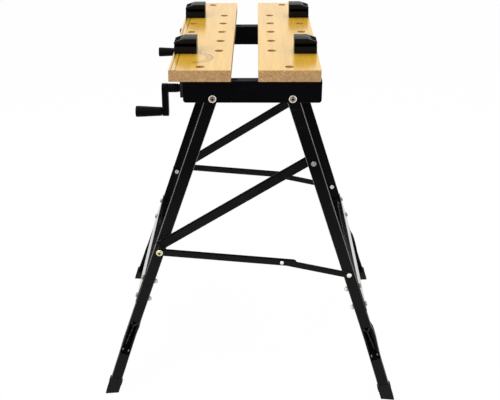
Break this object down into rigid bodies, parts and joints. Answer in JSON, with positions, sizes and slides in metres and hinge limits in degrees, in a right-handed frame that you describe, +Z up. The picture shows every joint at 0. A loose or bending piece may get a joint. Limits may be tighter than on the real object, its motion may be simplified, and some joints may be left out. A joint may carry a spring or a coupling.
{
  "type": "folding workbench",
  "caption": "Portable folding workbench with a clamping split wooden top, crank-driven vice screws, swivelling dogs and splayed black steel folding legs.",
  "frame": {"origin": "floor level, centre of the bounding box", "axes": "+Z up, cranks on the -X side, jaws long along Y"},
  "size_m": [0.6664, 0.605, 0.8134],
  "materials": {
    "jaw_wood": "pale bamboo face, satin",
    "rail_paint": "black powder coat",
    "leg_paint": "black powder coat",
    "link_paint": "black powder coat",
    "crank_paint": "black satin",
    "zinc_fastener": "bright zinc",
    "screw_steel": "oiled steel",
    "grip_plastic": "black satin",
    "dog_plastic": "black moulded",
    "block_plastic": "black moulded",
    "foot_rubber": "matt black"
  },
  "bodies": {
    "top_frame": {"rail_near": "rail_paint", "rail_far": "rail_paint", "rear_jaw": "jaw_wood", "rear_block_near": "block_plastic", "rear_block_far": "block_plastic", "bearing_near": "block_plastic", "bearing_far": "block_plastic", "front_pivot_bolt_near": "zinc_fastener", "front_pivot_bolt_far": "zinc_fastener", "rear_pivot_bolt_near": "zinc_fastener", "rear_pivot_bolt_far": "zinc_fastener"},
    "front_jaw": {"front_jaw": "jaw_wood", "carriage_near": "block_plastic", "carriage_far": "block_plastic"},
    "crank_near": {"crank_near": "crank_paint", "screw_near": "screw_steel"},
    "crank_far": {"crank_far": "crank_paint", "screw_far": "screw_steel"},
    "grip_near": {"grip_near": "grip_plastic"},
    "grip_far": {"grip_far": "grip_plastic"},
    "front_legs": {"front_leg_near": "leg_paint", "front_leg_far": "leg_paint", "front_foot_near": "foot_rubber", "front_foot_far": "foot_rubber", "front_panel": "leg_paint", "front_panel_bolt_upper_near": "zinc_fastener", "front_panel_bolt_upper_far": "zinc_fastener", "front_panel_bolt_lower_near": "zinc_fastener", "front_panel_bolt_lower_far": "zinc_fastener", "spreader_bolt_near": "zinc_fastener", "spreader_bolt_far": "zinc_fastener"},
    "rear_legs": {"rear_leg_near": "leg_paint", "rear_leg_far": "leg_paint", "rear_foot_near": "foot_rubber", "rear_foot_far": "foot_rubber", "rear_panel": "leg_paint", "rear_panel_bolt_upper_near": "zinc_fastener", "rear_panel_bolt_upper_far": "zinc_fastener", "rear_panel_bolt_lower_near": "zinc_fastener", "rear_panel_bolt_lower_far": "zinc_fastener", "brace_rivet_near": "zinc_fastener", "brace_rivet_far": "zinc_fastener", "spreader_pin_near": "zinc_fastener", "spreader_pin_far": "zinc_fastener"},
    "brace_near": {"brace_near": "link_paint"},
    "brace_far": {"brace_far": "link_paint"},
    "front_link_near": {"front_link_near": "link_paint", "knee_rivet_near": "zinc_fastener"},
    "front_link_far": {"front_link_far": "link_paint", "knee_rivet_far": "zinc_fastener"},
    "rear_link_near": {"rear_link_near": "link_paint"},
    "rear_link_far": {"rear_link_far": "link_paint"},
    "dog_front_near": {"dog_front_near": "dog_plastic"},
    "dog_front_far": {"dog_front_far": "dog_plastic"},
    "dog_rear_near": {"dog_rear_near": "dog_plastic"},
    "dog_rear_far": {"dog_rear_far": "dog_plastic"}
  },
  "joints": [
    {"name": "jaw_clamp", "type": "slide", "parent": "top_frame", "child": "front_jaw", "axis": [1, 0, 0], "range_m": [-0.0052, 0.052]},
    {"name": "front_leg_fold", "type": "hinge", "parent": "top_frame", "child": "front_legs", "pos_m": [-0.07533, 0, 0.705], "axis": [0, 1, 0], "range_deg": [0, 69.98]},
    {"name": "rear_leg_fold", "type": "hinge", "parent": "top_frame", "child": "rear_legs", "pos_m": [0.08636, 0, 0.705], "axis": [0, 1, 0], "range_deg": [0, 93.5]},
    {"name": "crank_near_turn", "type": "hinge", "parent": "top_frame", "child": "crank_near", "pos_m": [-0.14983, -0.2306, 0.725], "axis": [1, 0, 0], "range_deg": [-361, 3601]},
    {"name": "grip_near_spin", "type": "hinge", "parent": "crank_near", "child": "grip_near", "pos_m": [-0.20983, -0.2306, 0.675], "axis": [1, 0, 0], "continuous": true},
    {"name": "brace_near_swing", "type": "hinge", "parent": "rear_legs", "child": "brace_near", "pos_m": [0.1329, -0.2178, 0.56345], "axis": [0, 1, 0], "range_deg": [-56.39, 0]},
    {"name": "front_link_near_swing", "type": "hinge", "parent": "front_legs", "child": "front_link_near", "pos_m": [-0.19596, -0.244, 0.35468], "axis": [0, 1, 0], "range_deg": [-63.99, 0]},
    {"name": "rear_link_near_swing", "type": "hinge", "parent": "rear_legs", "child": "rear_link_near", "pos_m": [0.21911, -0.241, 0.30126], "axis": [0, 1, 0], "range_deg": [0, 54.64]},
    {"name": "crank_far_turn", "type": "hinge", "parent": "top_frame", "child": "crank_far", "pos_m": [-0.14983, 0.2306, 0.725], "axis": [1, 0, 0], "range_deg": [-361, 3601]},
    {"name": "grip_far_spin", "type": "hinge", "parent": "crank_far", "child": "grip_far", "pos_m": [-0.20983, 0.2306, 0.675], "axis": [1, 0, 0], "continuous": true},
    {"name": "brace_far_swing", "type": "hinge", "parent": "rear_legs", "child": "brace_far", "pos_m": [0.1329, 0.2178, 0.56345], "axis": [0, 1, 0], "range_deg": [-56.39, 0]},
    {"name": "front_link_far_swing", "type": "hinge", "parent": "front_legs", "child": "front_link_far", "pos_m": [-0.19596, 0.244, 0.35468], "axis": [0, 1, 0], "range_deg": [-63.99, 0]},
    {"name": "rear_link_far_swing", "type": "hinge", "parent": "rear_legs", "child": "rear_link_far", "pos_m": [0.21911, 0.241, 0.30126], "axis": [0, 1, 0], "range_deg": [0, 54.64]},
    {"name": "dog_front_near_swivel", "type": "hinge", "parent": "front_jaw", "child": "dog_front_near", "pos_m": [-0.13183, -0.16, 0.7825], "axis": [0, 0, 1], "continuous": true},
    {"name": "dog_front_far_swivel", "type": "hinge", "parent": "front_jaw", "child": "dog_front_far", "pos_m": [-0.13183, 0.16, 0.7825], "axis": [0, 0, 1], "continuous": true},
    {"name": "dog_rear_near_swivel", "type": "hinge", "parent": "top_frame", "child": "dog_rear_near", "pos_m": [0.11217, -0.16, 0.7825], "axis": [0, 0, 1], "continuous": true},
    {"name": "dog_rear_far_swivel", "type": "hinge", "parent": "top_frame", "child": "dog_rear_far", "pos_m": [0.11217, 0.16, 0.7825], "axis": [0, 0, 1], "continuous": true}
  ],
  "couplings": [
    {"joint": "rear_leg_fold", "follows": "front_leg_fold", "ratio": 1.3319},
    {"joint": "crank_near_turn", "follows": "jaw_clamp", "rad_per_m": 1208.3},
    {"joint": "brace_near_swing", "follows": "front_leg_fold", "ratio": -0.80151},
    {"joint": "front_link_near_swing", "follows": "front_leg_fold", "ratio": -0.9102},
    {"joint": "rear_link_near_swing", "follows": "front_leg_fold", "ratio": 0.77649},
    {"joint": "crank_far_turn", "follows": "jaw_clamp", "rad_per_m": 1208.3},
    {"joint": "brace_far_swing", "follows": "front_leg_fold", "ratio": -0.80151},
    {"joint": "front_link_far_swing", "follows": "front_leg_fold", "ratio": -0.9102},
    {"joint": "rear_link_far_swing", "follows": "front_leg_fold", "ratio": 0.77649}
  ]
}
